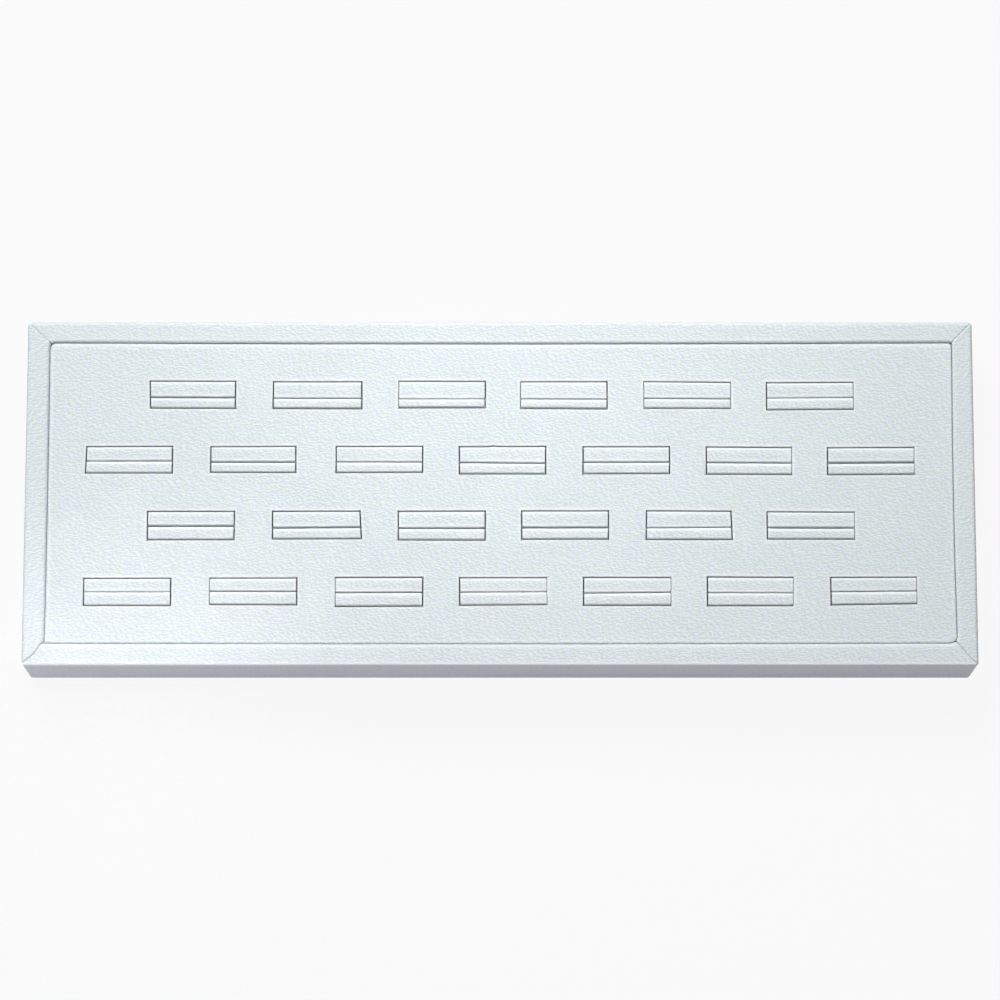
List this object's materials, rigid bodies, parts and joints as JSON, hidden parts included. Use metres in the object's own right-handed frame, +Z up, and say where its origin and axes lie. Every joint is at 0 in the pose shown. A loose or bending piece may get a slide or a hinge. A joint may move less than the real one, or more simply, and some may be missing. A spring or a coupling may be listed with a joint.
{
  "type": "ring tray insert",
  "caption": "Flat white leatherette insert for a jewellery tray: mitred border and a deck of slots, each with a slit foam pad that grips a ring.",
  "frame": {"origin": "on the underside, at the middle of the footprint", "axes": "+X along the insert's length, -Y towards its front, +Z up out of the slotted deck"},
  "size_m": [0.2796, 0.1028, 0.0254],
  "materials": {
    "backing_paper": "plain white paper, matte",
    "border_leatherette": "cool white leatherette, fine ripple grain, satin",
    "card": "grey board, matte",
    "deck_leatherette": "cool white leatherette, fine ripple grain, satin",
    "foam": "open foam, pale, matte",
    "hardboard": "pressed fibre board, smooth face",
    "pad_leatherette": "cool white leatherette, fine ripple grain, satin",
    "wood": "planed softwood, unfinished"
  },
  "bodies": {
    "root": {"back_rail": "wood", "back_rail_wrap": "border_leatherette", "backing_sheet": "backing_paper", "base_board": "hardboard", "deck_batten_1": "wood", "deck_batten_2": "wood", "deck_batten_3": "wood", "deck_batten_4": "wood", "deck_batten_5": "wood", "deck_board": "card", "deck_skin": "deck_leatherette", "foam_cores_row_a": "foam", "foam_cores_row_b": "foam", "foam_cores_row_c": "foam", "foam_cores_row_d": "foam", "front_rail": "wood", "front_rail_wrap": "border_leatherette", "left_rail": "wood", "left_rail_wrap": "border_leatherette", "right_rail": "wood", "right_rail_wrap": "border_leatherette", "ring_pad_cover_a1": "pad_leatherette", "ring_pad_cover_a2": "pad_leatherette", "ring_pad_cover_a3": "pad_leatherette", "ring_pad_cover_a4": "pad_leatherette", "ring_pad_cover_a5": "pad_leatherette", "ring_pad_cover_a6": "pad_leatherette", "ring_pad_cover_b1": "pad_leatherette", "ring_pad_cover_b2": "pad_leatherette", "ring_pad_cover_b3": "pad_leatherette", "ring_pad_cover_b4": "pad_leatherette", "ring_pad_cover_b5": "pad_leatherette", "ring_pad_cover_b6": "pad_leatherette", "ring_pad_cover_b7": "pad_leatherette", "ring_pad_cover_c1": "pad_leatherette", "ring_pad_cover_c2": "pad_leatherette", "ring_pad_cover_c3": "pad_leatherette", "ring_pad_cover_c4": "pad_leatherette", "ring_pad_cover_c5": "pad_leatherette", "ring_pad_cover_c6": "pad_leatherette", "ring_pad_cover_d1": "pad_leatherette", "ring_pad_cover_d2": "pad_leatherette", "ring_pad_cover_d3": "pad_leatherette", "ring_pad_cover_d4": "pad_leatherette", "ring_pad_cover_d5": "pad_leatherette", "ring_pad_cover_d6": "pad_leatherette", "ring_pad_cover_d7": "pad_leatherette"}
  },
  "joints": []
}
